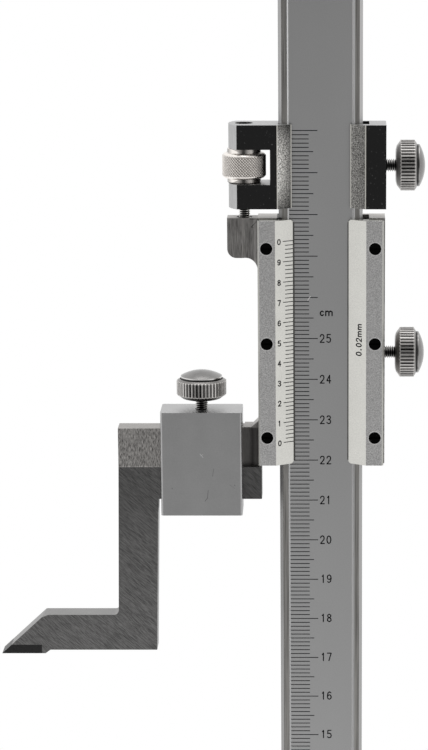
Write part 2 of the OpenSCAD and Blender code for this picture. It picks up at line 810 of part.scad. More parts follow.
module scriber() {
    color("#54524f") difference() {
        deep(front_y, jaw_back) difference() {
            scriber_outline();
            rect(point_x - cut, reading - cut, point_x + tip_l, reading + tip_t);
        }
        corner_wedge();
    }
}

module carbide_tip() {
    color("#2c2c2c") deep(front_y, jaw_back) tip_outline();
}

base();
column();
pressure_plate();
clamping_screws();
stop_plate();
stop_screw();
carriage();
carriage_gib();
carriage_lock_stud();
carriage_lock_knob();
carriage_lock_cap();
fine_nut();
fine_screw();
slider_frame();
vernier_plate();
cover_plate();
vernier_plate_screws();
cover_plate_screws();
slider_gib();
gib_set_screws();
slider_lock_stud();
slider_lock_knob();
slider_lock_cap();
scriber_clamp();
clamp_lock_stud();
clamp_lock_knob();
clamp_lock_cap();
scriber();
carbide_tip();
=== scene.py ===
import math

import bpy
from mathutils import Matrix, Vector


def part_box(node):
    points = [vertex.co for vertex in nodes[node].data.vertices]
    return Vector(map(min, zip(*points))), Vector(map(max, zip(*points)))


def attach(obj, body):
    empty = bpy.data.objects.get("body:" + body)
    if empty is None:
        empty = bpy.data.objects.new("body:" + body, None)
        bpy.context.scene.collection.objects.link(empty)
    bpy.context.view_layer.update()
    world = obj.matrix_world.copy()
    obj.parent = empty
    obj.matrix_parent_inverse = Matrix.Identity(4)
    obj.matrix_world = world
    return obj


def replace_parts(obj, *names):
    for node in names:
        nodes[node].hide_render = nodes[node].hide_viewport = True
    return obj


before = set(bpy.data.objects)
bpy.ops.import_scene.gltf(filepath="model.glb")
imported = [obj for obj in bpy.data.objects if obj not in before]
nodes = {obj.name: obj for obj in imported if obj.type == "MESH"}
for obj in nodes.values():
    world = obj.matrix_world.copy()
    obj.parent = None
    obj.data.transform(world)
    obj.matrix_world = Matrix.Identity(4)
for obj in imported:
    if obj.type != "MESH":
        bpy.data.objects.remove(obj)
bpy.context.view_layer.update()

# Lengths are millimetres in the row frame, unless a name or comment says metres: +Z runs up the column,
# +X to the gauge's right, and -Y towards the reader. Heights are those of the rest pose.
MM = 0.001


def box_mm(name):
    """Lowest and highest corner of a CAD node."""
    lo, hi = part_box(name)
    return lo / MM, hi / MM


def axes_of(node, pick):
    """A round node's middle, its own axis, and the two axes across it.

    pick is max for a rod, whose own axis is its longest side, and min for a knob.
    """
    lo, hi = box_mm(node)
    own = pick(range(3), key=lambda i: hi[i] - lo[i])
    return (lo + hi) / 2, own, [i for i in range(3) if i != own]


def circle(center, radius, count):
    """Points on a circle."""
    turns = [2 * math.pi * i / count for i in range(count)]
    return [(center[0] + radius * math.cos(t), center[1] + radius * math.sin(t)) for t in turns]


def tint(value, warm=0.0):
    """Red, green and blue of a grey, yellowish where warm is above 0."""
    return (value * (1 + warm), value, value * (1 - warm))


def grey(value, warm=0.0):
    return (*tint(value, warm), 1)


# Shader building blocks

class Tree:
    """A node tree, built up link by link. A value is a number, a tuple or another node's output."""

    def __init__(self, owner):
        owner.use_nodes = True
        self.tree = owner.node_tree
        self.tree.nodes.clear()

    def node(self, kind, **settings):
        n = self.tree.nodes.new(kind)
        for key, value in settings.items():
            setattr(n, key, value)
        return n

    def link(self, a, b):
        self.tree.links.new(a, b)

    def put(self, socket, value):
        if hasattr(value, "is_linked"):
            self.link(value, socket)
        else:
            socket.default_value = value

    def math(self, operation, a, b=None, clamp=False):
        n = self.node("ShaderNodeMath", operation=operation, use_clamp=clamp)
        self.put(n.inputs[0], a)
        if b is not None:
            self.put(n.inputs[1], b)
        return n.outputs[0]

    def times(self, a, *factors):
        for factor in factors:
            a = self.math("MULTIPLY", a, factor)
        return a

    def plus(self, a, b):
        return self.math("ADD", a, b)

    def minus(self, a, b):
        return self.math("SUBTRACT", a, b)

    def absolute(self, a):
        return self.math("ABSOLUTE", a)

    def ramp(self, value, lo, hi, out_lo=0.0, out_hi=1.0, smooth=False):
        """value, led from the span lo to hi over to the span out_lo to out_hi, and held at its ends."""
        n = self.node("ShaderNodeMapRange", interpolation_type="SMOOTHSTEP" if smooth else "LINEAR")
        for i, v in enumerate((value, lo, hi, out_lo, out_hi)):
            self.put(n.inputs[i], v)
        return n.outputs[0]

    def split(self, vector):
        n = self.node("ShaderNodeSeparateXYZ")
        self.link(vector, n.inputs[0])
        return n.outputs


class Mat(Tree):
    """A material whose pattern lies in object coordinates, so it moves with its piece."""

    def __init__(self, name):
        self.mat = bpy.data.materials.new(name)
        super().__init__(self.mat)
        self.bsdf = self.node("ShaderNodeBsdfPrincipled")
        self.link(self.bsdf.outputs[0], self.node("ShaderNodeOutputMaterial").inputs[0])
        self.xyz = self.split(self.scaled(self.coords(), 1 / MM))
        self.rounded = None

    def vmath(self, operation, a, b=None):
        n = self.node("ShaderNodeVectorMath", operation=operation)
        self.put(n.inputs[0], a)
        if b is not None:
            self.put(n.inputs[1], b)
        return n.outputs["Value"] if operation in ("DOT_PRODUCT", "DISTANCE") else n.outputs[0]

    def scaled(self, vector, factor):
        """A vector or colour times a factor."""
        out = self.vmath("SCALE", vector)
        self.put(out.node.inputs["Scale"], factor)
        return out

    def mix(self, factor, a, b):
        """Colour a, or b where the factor is 1."""
        n = self.node("ShaderNodeMix", data_type="RGBA")
        a, b = [(v, v, v, 1) if isinstance(v, (int, float)) else v for v in (a, b)]
        self.put(n.inputs[0], factor)
        self.put(n.inputs[6], a)
        self.put(n.inputs[7], b)
        return n.outputs[2]

    def coords(self):
        return self.node("ShaderNodeTexCoord").outputs["Object"]

    def normal(self):
        return self.node("ShaderNodeNewGeometry").outputs["Normal"]

    def noise(self, scale, stretch=(1, 1, 1), detail=2.0, rough=0.5, turn=0.0):
        """Noise, drawn out along an axis where stretch is small, turned about Y by degrees."""
        mapping = self.node("ShaderNodeMapping", vector_type="TEXTURE")
        self.link(self.coords(), mapping.inputs[0])
        mapping.inputs["Scale"].default_value = [1 / v for v in stretch]
        mapping.inputs["Rotation"].default_value = (0, math.radians(turn), 0)
        n = self.node("ShaderNodeTexNoise")
        self.link(mapping.outputs[0], n.inputs["Vector"])
        n.inputs["Scale"].default_value = scale
        n.inputs["Detail"].default_value = detail
        n.inputs["Roughness"].default_value = rough
        return n.outputs["Fac"]

    def inside(self, lo, hi, soft):
        """1 inside a box with soft sides, None for an open side."""
        total = None
        for i, axis in enumerate(self.xyz):
            for limit, sign in ((lo[i], 1), (hi[i], -1)):
                if limit is not None:
                    part = self.ramp(axis, limit - sign * soft, limit + sign * soft)
                    total = part if total is None else self.times(total, part)
        return total

    def band(self, value, lo, hi, soft_lo, soft_hi):
        """1 where a value lies between lo and hi, over soft_lo above lo and soft_hi above hi."""
        return self.times(self.ramp(value, lo, lo + soft_lo), self.ramp(value, hi + soft_hi, hi))

    def radius(self, axes, mid):
        """Distance from the line through mid that is square to both axes."""
        squares = []
        for i in axes:
            d = self.minus(self.xyz[i], mid[i])
            squares.append(self.times(d, d))
        return self.math("SQRT", self.plus(*squares))

    def line(self, a, b, width):
        """1 along a thin straight line drawn on the front, from (x, z) to (x, z)."""
        ax, az = a
        d = Vector((b[0] - ax, 0, b[1] - az))
        flat = self.vmath("MULTIPLY", self.coords(), (1 / MM, 0, 1 / MM))
        rel = self.vmath("SUBTRACT", flat, (ax, 0, az))
        t = self.math("MULTIPLY", self.vmath("DOT_PRODUCT", rel, tuple(d)), 1 / d.length_squared, clamp=True)
        gap = self.vmath("DISTANCE", rel, self.scaled(tuple(d), t))
        return self.ramp(gap, width, width * 0.3)

    def edges(self, radius):
        """0 on flat faces, rising to 1 at sharp edges."""
        bevel = self.node("ShaderNodeBevel", samples=4)
        bevel.inputs["Radius"].default_value = radius * MM
        self.rounded = bevel.outputs[0]
        return self.ramp(self.vmath("DOT_PRODUCT", self.rounded, self.normal()), 0.995, 0.86)

    def finish(self, color, roughness, metallic=1.0, relief=None, strength=0.0):
        """Sets the shader's inputs, with a fine relief on top of the rounded edges."""
        b = self.bsdf.inputs
        self.put(b["Base Color"], color)
        self.put(b["Roughness"], roughness)
        self.put(b["Metallic"], metallic)
        if relief is not None:
            n = self.node("ShaderNodeBump")
            n.inputs["Strength"].default_value = strength
            n.inputs["Distance"].default_value = 0.02 * MM
            self.link(relief, n.inputs["Height"])
            if self.rounded is not None:
                self.link(self.rounded, n.inputs["Normal"])
            self.link(n.outputs[0], b["Normal"])
        return self.mat


# The Y of a normal: at the first value or below it the face is turned to the reader, from the second on it isn't
FACING = (-0.98, -0.90)


def steel(name, base, rough, grain, fine, stretch, edge, edge_r, warm=0.0, turn=0.0, contrast=0.2, blotch=0.04,
          upper=None, still=None, zones=(), off_front=1.0, off_tint=None, calm=1.0, lines=()):
    """Ground or satin steel.

    base, warm, rough: lightness, tint and roughness.
    grain, fine, stretch, turn, contrast: strength, fineness, direction and sharpness of the grinding marks.
    upper: a height above which the marks are drawn out by another stretch.
    blotch: strength of slow changes. edge, edge_r: strength and width of the bright edges, worn and with a painted
    highlight.
    zones: boxes (low corner, high corner, softness, factor) that change the shade, most of them painted light and
    shade.
    still: such a box, in which the marks are weaker.
    off_front, off_tint, calm: painted light (a shade factor), tint and strength of the marks on faces turned away from
    the reader.
    lines: thin lines drawn on the front (start, end, half width, lightness).
    """
    m = Mat(name)
    g = m.noise(fine, stretch, 3.0, 0.65, turn)
    if upper:
        start, longer = upper
        calmer = m.ramp(m.noise(fine, longer, 3.0, 0.65), 0.2, 0.8, 0.3, 0.7)
        g = m.ramp(m.xyz[2], start - 0.1, start + 0.1, g, calmer)
    patch = m.noise(180)
    ny = m.split(m.normal())[1]
    swing = m.ramp(g, 0.5 - contrast, 0.5 + contrast, -grain, grain)
    if still:
        lo, hi, soft, kept = still
        swing = m.times(swing, m.ramp(m.inside(lo, hi, soft), 0, 1, 1, kept))
    swing = m.times(swing, m.ramp(ny, *FACING, 1.0, calm))
    shade = m.plus(m.plus(swing, 1.0), m.ramp(patch, 0.3, 0.7, -blotch, blotch))
    for lo, hi, soft, factor in zones:
        shade = m.times(shade, m.ramp(m.inside(lo, hi, soft), 0, 1, 1, factor))
    # Painted light: faces turned away from the reader are off_front times as light
    shade = m.times(shade, m.ramp(ny, *FACING, 1.0, off_front))
    color = m.scaled(tint(base, warm), shade)
    if off_tint:
        color = m.mix(m.ramp(ny, *FACING), color, m.vmath("MULTIPLY", color, off_tint))
    for a, b, width, value in lines:
        on = m.times(m.line(a, b, width), m.ramp(ny, *FACING[::-1]))
        color = m.mix(on, color, grey(value, warm))
    # Bright edges: worn, with a painted highlight
    color = m.mix(m.times(m.edges(edge_r), edge), color, grey(min(base * 2.0, 0.85), warm))
    return m.finish(color, m.ramp(g, 0.3, 0.7, rough - 0.05, rough + 0.05), 1.0, g, 0.15)


def plain(name, color, rough, specular):
    """Ink, blackened steel, or a painted shadow: one colour with a faint grain."""
    m = Mat(name)
    g = m.noise(1500)
    m.bsdf.inputs["Specular IOR Level"].default_value = specular
    return m.finish(m.scaled(color, m.ramp(g, 0.3, 0.7, 0.9, 1.1)), rough, 0.0, g, 0.1)


# The bevelled lips of the carriage: distance of their inner and outer edges from the column's axis, right and left
LIP_IN = (7.0, 6.85)
LIP_OUT = (10.75, 10.35)
# Colour of the painted highlights along the lips' edges
LIP_LIGHT = (0.66, 0.66, 0.64, 1)


def blackened():
    """Black front with a few specks, light ground top and ends, grainy bevels beside the column, with painted light and
    shade.
    """
    m = Mat("carriage_black")
    nx, ny, nz = m.split(m.normal())
    x, _, z = m.xyz
    front = m.ramp(ny, -0.999, -0.97, 1.0, 0.0)
    off_front = m.minus(1.0, front)
    across = m.absolute(x)
    left = m.ramp(x, -1, 1, 1, 0)

    # Bevels: mottled; painted light, the left one lightest halfway up and away from the column; painted highlights on
    # the edges
    lip = m.times(m.ramp(ny, -0.2, -0.3, 0, 1), m.ramp(across, 11.2, 10.9), off_front)
    lo, hi = box_mm("carriage")
    up = m.ramp(z, lo.z, hi.z, -1, 1)
    middle = m.ramp(m.times(up, up), 0, 1, 1.22, 0.25)
    tone = m.plus(m.times(left, middle, m.ramp(across, 7.0, 10.4, 0.14, 0.56)),
                  m.times(m.minus(1.0, left), m.ramp(across, 7.0, 10.8, 0.24, 0.17)))
    coarse = m.noise(4300, detail=2.0, rough=0.7)
    mottled = m.times(tone, m.ramp(coarse, 0.40, 0.62, 0.3, 1.85))
    rim_in = m.ramp(left, 0, 1, *LIP_IN)
    rim_out = m.ramp(left, 0, 1, *LIP_OUT)
    rims = m.plus(m.ramp(m.minus(across, rim_in), 0.3, 0.16), m.ramp(m.minus(rim_out, across), 0.3, 0.16))
    mottled = m.mix(m.times(rims, 0.8), mottled, LIP_LIGHT)
    mottled = m.vmath("MULTIPLY", mottled, (1.02, 1.0, 0.955))

    # Ground faces, with painted shade where they face left and in the screw's bore, dark on the window's wall
    grain = m.noise(2600, (1, 1, 0.2), 3.0, 0.7)
    wall = m.times(m.ramp(nx, -0.5, -0.9), m.ramp(x, -13.0, -12.5))
    ground = m.times(m.ramp(grain, 0.3, 0.7, 0.46, 0.57), m.ramp(nx, -0.8, -0.95, 1.0, 0.9))
    light = m.mix(wall, ground, 0.02)
    nut_mid, _, nut_across = axes_of("fine_nut", min)
    bore = m.times(m.ramp(m.radius(nut_across, nut_mid), 2.35, 2.25), m.ramp(m.absolute(nz), 0.8, 0.5))
    light = m.mix(bore, light, 0.015)

    dark = m.ramp(m.noise(2100, detail=1.0), 0.70, 0.80, 0.006, 0.10)
    value = m.mix(front, m.mix(lip, light, mottled), dark)
    # Painted highlights on the edges off the front
    value = m.mix(m.times(m.edges(0.12), off_front, 0.5), value, (0.8, 0.8, 0.78, 1))
    m.bsdf.inputs["Specular IOR Level"].default_value = 0.3
    return m.finish(value, 0.42, m.ramp(front, 0.0, 1.0, 1.0, 0.0), coarse, 0.2)


# The column's rails: the scale face ends at RAIL_IN from the axis; a painted highlight runs up each rail's inner wall,
# LINE_WIDTH wide from LINE_IN (left, right) on; the outer chamfer starts at CHAMFER_IN. Both are painted lighter over
# SHINE_Z.
RAIL_IN = 7.87
LINE_IN = (7.58, 7.86)
LINE_WIDTH = 0.27
CHAMFER_IN = 9.2
SHINE_Z = (290, 335)


def column_steel():
    """Satin scale face with fine grain, and dark rails brushed lengthwise, with painted light and shade on their walls.
    """
    m = Mat("column_steel")
    x, _, z = m.xyz
    _, ny, nz = m.split(m.normal())
    across = m.absolute(x)
    grain = m.noise(3400, detail=3.0, rough=0.65)
    patch = m.noise(60, (1, 1, 0.4))
    face = m.plus(m.ramp(grain, 0.3, 0.7, 0.96, 1.04), m.ramp(patch, 0.3, 0.7, -0.02, 0.02))
    streak = m.noise(3000, (1, 1, 0.012), 4.0, 0.7)
    rail = m.scaled((0.345, 0.335, 0.32), m.ramp(streak, 0.35, 0.65, 0.5, 1.35))
    color = m.mix(m.ramp(across, RAIL_IN - 0.02, RAIL_IN + 0.04), m.scaled(tint(0.5), face), rail)

    # Walls that slant to the front: painted shade on the inner part of the chamfer, painted light on its outer part,
    # lighter on the right and higher up
    slant = m.times(m.ramp(ny, -0.95, -0.85), m.ramp(ny, -0.3, -0.5), m.ramp(nz, 0.3, 0.1))
    outer = m.ramp(across, CHAMFER_IN, CHAMFER_IN + 0.1)
    on_chamfer = m.times(slant, m.ramp(across, 8.8, 8.9))
    color = m.scaled(color, m.ramp(on_chamfer, 0, 1, 1.0, m.ramp(outer, 0, 1, 0.4, 1.0)))
    light = m.times(m.ramp(x, -1, 1, 0.37, 0.43), m.ramp(z, *SHINE_Z, 1.0, 1.25))
    color = m.mix(m.times(slant, outer, 0.8), color, m.scaled(tint(1), light))

    # The painted highlight: a bright line on each rail's inner wall
    from_line = m.minus(across, m.ramp(x, -1, 1, *LINE_IN))
    bright = m.times(m.band(from_line, 0.0, LINE_WIDTH, 0.06, 0.06), m.ramp(ny, -0.3, -0.5), 0.8)
    color = m.mix(bright, color, m.scaled(tint(1), m.ramp(z, *SHINE_Z, 0.6, 0.95)))
    # Painted highlights on the edges inside the chamfers
    color = m.mix(m.times(m.edges(0.07), m.ramp(across, 8.8, 8.6, 0.0, 0.3)), color, grey(0.7))
    return m.finish(color, 0.4, 1.0, grain, 0.12)


class Turned(Mat):
    """Steel turned about a node's own axis, with fine rings."""

    def __init__(self, name, node):
        super().__init__(name)
        self.mid, self.axis, across = axes_of(node, min)
        self.dist = self.radius(across, self.mid)
        self.along = self.minus(self.xyz[self.axis], self.mid[self.axis])
        self.shade = self.ramp(self.noise(900, detail=3.0, rough=0.6), 0.3, 0.7, 0.92, 1.08)
        self.rings = self.math("SINE", self.times(self.dist, 26.0))

    def grooved(self, low, high, floor, crest):
        """1 on the floors of the knurl between low and high, and 0 on its crests."""
        ends = self.times(self.ramp(self.along, low, low + 0.05), self.ramp(self.along, high + 0.02, high - 0.03))
        return self.times(ends, self.ramp(self.dist, floor, crest, 1, 0))

    def worn(self, color, warm):
        """Bright edges: worn, with a painted highlight."""
        return self.mix(self.times(self.edges(0.07), 0.5), color, grey(0.85, warm))

    def done(self, color, rough):
        return self.finish(color, rough, 1.0, self.rings, 0.06)


def knob_steel(lock, neck):
    """Knob with straight knurling, uneven; painted shade darkens its ends and neck and blackens the gap round its cap.
    """
    m = Turned(lock + "_knob_steel", lock + "_lock_knob")
    base, warm = 0.50, 0.03
    low, high = -1.3, 2.0
    floor, crest, cap = 5.86, 5.98, 5.2
    along = m.along
    uneven = m.noise(620, tuple(0.04 if i == m.axis else 1.0 for i in range(3)), 1.0)
    streak = m.ramp(uneven, 0.36, 0.64, 0.65, 1.35)
    shade = m.times(m.shade, m.ramp(m.band(along, low, high, 0.1, 0.1), 0, 1, 1.0, streak))
    # Painted shade at the knurl's ends and on the neck
    shade = m.times(shade, m.ramp(along, low - 0.06, low, 0.7, 1.0), m.ramp(along, high, high + 0.06, 1.0, 0.5))
    shade = m.times(shade, m.ramp(along, low - 0.8, low - 0.1, neck, 1.0))
    color = m.scaled(tint(base, warm), shade)

    # Painted shade in the grooves, darkest on the side towards the reader, and painted highlights on the ridges' ends
    towards = m.minus(m.xyz[1], m.mid[1])
    deep = m.times(m.ramp(uneven, 0.40, 0.56, 1.0, 0.8), m.ramp(towards, -0.75 * crest, -0.4 * crest, 0.97, 0.5))
    color = m.mix(m.times(m.grooved(low, high, floor, crest), deep), color, grey(0.006, warm))
    tips = m.plus(*[m.ramp(m.absolute(m.minus(along, end)), 0.16, 0.04) for end in (low, high)])
    tips = m.times(tips, m.ramp(m.dist, floor - 0.3, crest), 0.6)
    color = m.mix(tips, color, grey(0.9, warm))
    # Painted shade: black in the gap round the cap
    gap = m.times(m.ramp(m.dist, cap + 0.02, cap), m.ramp(along, high - 0.1, high))
    return m.done(m.worn(m.mix(gap, color, 0.01), warm), 0.28)


def cap_steel(lock, base, rim_light):
    """Domed cap with rings; painted shade at its edge and centre, and a painted highlight line between dark ones round
    its rim.
    """
    m = Turned(lock + "_cap_steel", lock + "_lock_cap")
    warm = 0.02
    edge = 5.0
    lower, upper = -0.38, -0.14
    # Rings, painted shade at the edge, and painted light growing outwards over the dome
    shade = m.times(m.shade, m.ramp(m.rings, -1, 1, 0.9, 1.1), m.ramp(m.dist, edge - 0.12, edge - 0.02, 1.0, 0.45))
    shade = m.times(shade, m.ramp(m.dist, 0.2 * edge, 0.95 * edge, 0.85, 1.15))
    color = m.worn(m.scaled(tint(base, warm), shade), warm)
    # Painted shade under the rim, and a painted highlight line round it
    below = m.times(m.ramp(m.along, lower, lower - 0.05), m.ramp(m.dist, edge - 0.2, edge - 0.1))
    color = m.mix(below, color, 0.04)
    line = m.times(m.band(m.along, lower, upper, 0.05, 0.1), m.ramp(m.dist, edge - 0.3, edge - 0.1))
    return m.done(m.mix(line, color, grey(rim_light, warm)), 0.22)


def nut_steel():
    """Bright nut: painted reflections on its collars, painted shade on its front, sides and foot, dark between the
    knurl's points.
    """
    m = Turned("nut_steel", "fine_nut")
    base, warm, collar = 0.93, 0.05, 4.15
    nx, ny, _ = m.split(m.normal())
    # Painted reflections on the collars, and painted shade on the rim's front, left edge and right side
    sheen = m.absolute(m.math("SINE", m.times(nx, math.pi)))
    on_rim = m.times(m.ramp(ny, -0.99, -0.84, 0.8, 1.0, True), m.ramp(nx, -0.98, -0.60, 0.7, 1.0))
    on_rim = m.times(on_rim, m.ramp(nx, 0.75, 0.98, 1.0, 0.4))
    on_collar = m.ramp(sheen, 0.15, 0.95, 0.12, 1.0)
    shade = m.times(m.shade, m.ramp(m.dist, collar, collar + 0.1, on_collar, on_rim))
    # Painted shadow at the foot
    foot = box_mm("fine_nut")[0].z - m.mid.z
    shade = m.times(shade, m.ramp(m.along, foot + 0.12, foot + 0.3, 0.06, 1.0))
    color = m.scaled(tint(base, warm), shade)
    # Between the knurl's points: a brown stain, darkened by painted shade
    grooves = m.times(m.grooved(-2.35, 2.35, 5.05, 5.18), 0.9)
    color = m.worn(m.mix(grooves, color, grey(0.05, warm + 0.2)), warm)
    return m.done(color, m.ramp(m.dist, collar, collar + 0.1, 0.1, 0.28))


def threaded(name, node, crest, root, base, floor, rough, core):
    """Cut thread: lightness base on the crests, floor in the roots, and painted shade of core times as light along the
    middle.
    """
    m = Mat(name)
    mid, _, across = axes_of(node, max)
    dist = m.radius(across, mid)
    sideways = next(i for i in across if i != 1)
    aside = m.absolute(m.minus(m.xyz[sideways], mid[sideways]))
    worn = m.ramp(m.noise(1800), 0.3, 0.7, 0.85, 1.15)
    value = m.times(m.ramp(dist, root + 0.05, crest - 0.02, floor, base), worn)
    # Painted shade along the middle, as seen from the front
    value = m.times(value, m.ramp(aside, 0.2 * crest, 0.6 * crest, core, 1.0))
    return m.finish(m.scaled((1.02, 1.0, 0.97), value), rough)


# Zones of the steel pieces. LEG_TOP is the top of the scriber's leg, FRAME_LEFT lies just inside the frame's left
# side, LUG_LOW between the jaw and the lug, and HOLLOW is the hollow ground into the jaw's root.
LEG_TOP = 263.3
FRAME_LEFT = -15.1
FRAME_TOP = box_mm("slider_frame")[1].z
LUG_LOW = 310
HOLLOW = ((-19.3, -3.2, 270), (FRAME_LEFT, 2.0, 281.5), 0.1)
PLATE_LEFT = box_mm("vernier_plate")[0].x
PLATE_RIGHT = box_mm("cover_plate")[1].x

FRAME_ZONES = (
    ((None, None, FRAME_TOP - 0.03), (None, None, None), 0.01, 1.3),  # painted light on the top
    ((None, None, 281.59), (FRAME_LEFT, None, 281.7), 0.01, 0.84),  # painted shade on the top of the jaw
    ((None, None, LUG_LOW), (FRAME_LEFT, None, None), 0.1, 0.74),  # lug
    ((-17.4, None, LUG_LOW), (-14.5, -1, FRAME_TOP - 0.4), 0.4, 0.82),  # shade where the lug meets the frame
    ((None, None, 271.9), (-25, None, 272.3), 0.05, 1.3),  # painted highlight along the jaw's underside
    ((-10.45, None, FRAME_TOP - 0.4), (-9.8, None, None), 0.05, 0.03),  # painted shade in the notch beside the column
    ((-20.1, -2.4, FRAME_TOP - 0.7), (-16.3, 1.5, FRAME_TOP - 0.04), 0.02, 0.05),  # painted shade in the screw's seat
    # painted shade in the hollow ground into the jaw's root
    (*HOLLOW, 0.36),
    ((-17.1, -3.2, 270), (-16.2, 2.0, 281.5), 0.5, 0.4))  # painted shade, deeper in the hollow's middle
PLATE_ZONES = (
    ((PLATE_RIGHT - 0.42, None, None), (None, None, None), 0.03, 0.6),  # painted shade on the outer chamfers
    ((None, None, None), (PLATE_LEFT + 0.42, None, None), 0.03, 0.6))
SCRIBER_ZONES = (
    ((-39, None, LEG_TOP), (None, None, None), 0.2, 0.72),  # shank
    ((None, None, 262), (-39, None, None), 3, 0.84),  # upper left end
    ((None, None, 248), (None, None, None), 14, 0.84))  # all, darker towards the top

# Fine scratches: ends, half width and lightness
CLAMP_LINES = (
    ((-29.25, 275.82), (-28.54, 274.95), 0.10, 0.75), ((-28.53, 275.7), (-29.14, 275.32), 0.08, 0.7),
    ((-27.36, 266.76), (-27.55, 264.86), 0.08, 0.16), ((-27.55, 264.86), (-28.17, 264.04), 0.09, 0.16),
    ((-25.95, 272.12), (-26.29, 270.23), 0.08, 0.24), ((-36.14, 267.3), (-36.04, 267.1), 0.12, 0.2),
    ((-20.95, 268.1), (-20.85, 267.9), 0.12, 0.2), ((-22.2, 268.2), (-20.9, 267.2), 0.06, 0.27))
# Dark lines along the lug's top edge and across its corner: ends, half width and lightness
LUG_LINES = (
    ((-16.85, 332.6), (-15.35, 332.6), 0.12, 0.02), ((-15.35, 331.98), (-16.55, 330.68), 0.14, 0.04),
    ((-16.55, 330.68), (-16.1, 330.6), 0.1, 0.06))

EVEN = (1, 1, 1)
finish = {
    "column": column_steel(),
    "frame": steel("frame_steel", base=0.35, rough=0.42, grain=0.68, fine=7500, stretch=(1, 1, 0.13), edge=0.45,
                   edge_r=0.08, warm=0.035, contrast=0.12, blotch=0.08, upper=(LUG_LOW, (1, 1, 0.04)),
                   still=(*HOLLOW, 0.2), zones=FRAME_ZONES, off_front=1.25, calm=0.3, lines=LUG_LINES),
    "plate": steel("plate_chrome", base=0.61, rough=0.40, grain=0.42, fine=4200, stretch=EVEN, edge=0.7,
                   edge_r=0.07, warm=0.009, blotch=0.02, zones=PLATE_ZONES, off_front=1.24,
                   off_tint=(1.0, 1.0, 0.955), calm=0.3),
    "rim": steel("rim_steel", base=0.84, rough=0.35, grain=0.3, fine=2400, stretch=EVEN, edge=0.2, edge_r=0.05,
                 warm=0.01),
    "carriage": blackened(),
    "clamp": steel("clamp_steel", base=0.43, rough=0.40, grain=0.05, fine=2600, stretch=EVEN, edge=0.2,
                   edge_r=0.06, blotch=0.035, off_front=1.2, lines=CLAMP_LINES),
    "scriber": steel("scriber_steel", base=0.20, rough=0.40, grain=0.38, fine=11000, stretch=(0.05, 1, 1),
                     edge=0.5, edge_r=0.06, warm=0.012, turn=42, contrast=0.09, zones=SCRIBER_ZONES,
                     off_front=1.5, calm=0.4),
    "carbide": steel("carbide", base=0.045, rough=0.38, grain=0.2, fine=2600, stretch=EVEN, edge=0.15, edge_r=0.1),
    "gib": steel("gib_steel", base=0.025, rough=0.45, grain=0.1, fine=2400, stretch=EVEN, edge=0.2, edge_r=0.1),
    "base": steel("base_steel", base=0.34, rough=0.45, grain=0.10, fine=1600, stretch=EVEN, edge=0.3, edge_r=0.4),
    "black": plain("screw_black", (0.003, 0.003, 0.003), 0.7, specular=0.0),
    "ink": plain("ink", (0.010, 0.010, 0.012), 0.7, specular=0.1),
    # A painted shadow, laid beside the plates' inner edges
    "shadow_strip": plain("plate_edge_shade", (0.12, 0.118, 0.112), 0.45, specular=0.2),
    "nut": nut_steel(),
}

# Threads: radius of the crests and of the roots. The three locks stand among different reflections.
STUD_THREAD = (1.5, 1.15)
FINE_THREAD = (1.4, 1.08)
finish["thread"] = threaded("thread_steel", "fine_screw", 1.4, 1.1, base=0.95, floor=0.03, rough=0.22, core=0.25)
LOCKS = ("carriage", "slider", "clamp")
# Per lock, painted light for its own reflections: shade on the knob's neck, tone of the cap, and the cap rim's
# highlight
KNOB_NECK = (0.9, 0.9, 0.35)
CAP_TONE = (0.19, 0.19, 0.24)
CAP_RIM = (0.35, 0.35, 0.7)
for lock, neck, tone, rim_light in zip(LOCKS, KNOB_NECK, CAP_TONE, CAP_RIM):
    finish[lock + "_knob"] = knob_steel(lock, neck)
    finish[lock + "_cap"] = cap_steel(lock, tone, rim_light)
    finish[lock + "_stud"] = threaded(lock + "_stud_steel", lock + "_lock_stud", *STUD_THREAD, base=0.6,
                                      floor=0.006, rough=0.3, core=0.1)

CAD_FINISH = {
    "base": "base", "column": "column", "pressure_plate": "gib", "clamping_screws": "black",
    "stop_plate": "clamp", "stop_screw": "black", "carriage": "carriage", "carriage_gib": "gib",
    "fine_nut": "nut", "fine_screw": "thread", "slider_frame": "frame", "vernier_plate": "plate",
    "cover_plate": "plate", "vernier_plate_screws": "black", "cover_plate_screws": "black",
    "slider_gib": "gib", "gib_set_screws": "black", "scriber_clamp": "clamp", "scriber": "scriber",
    "carbide_tip": "carbide",
}
CAD_FINISH.update({f"{lock}_lock_{part}": f"{lock}_{part}" for lock in LOCKS for part in ("stud", "knob", "cap")})
for name, key in CAD_FINISH.items():
    mats = nodes[name].data.materials
    if len(mats) == 0:
        mats.append(finish[key])
    for i in range(len(mats)):
        mats[i] = finish[key]


def add_mesh(name, verts, faces, key, body):
    """A new piece that rides on a body."""
    mesh = bpy.data.meshes.new(name)
    mesh.from_pydata([[c * MM for c in v] for v in verts], [], faces)
    mesh.update()
    mesh.materials.append(finish[key])
    obj = bpy.data.objects.new(name, mesh)
    bpy.context.scene.collection.objects.link(obj)
    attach(obj, body)
    return obj


# Threads. A turn's profile: place along the pitch, and whether the point lies on a crest.
PITCH = 0.5
THREAD_TURN = ((0.0, False), (0.10, False), (0.38, True), (0.62, True), (0.90, False), (1.0, False))
THREAD_STEPS = 28
RUN_OUT = 0.8


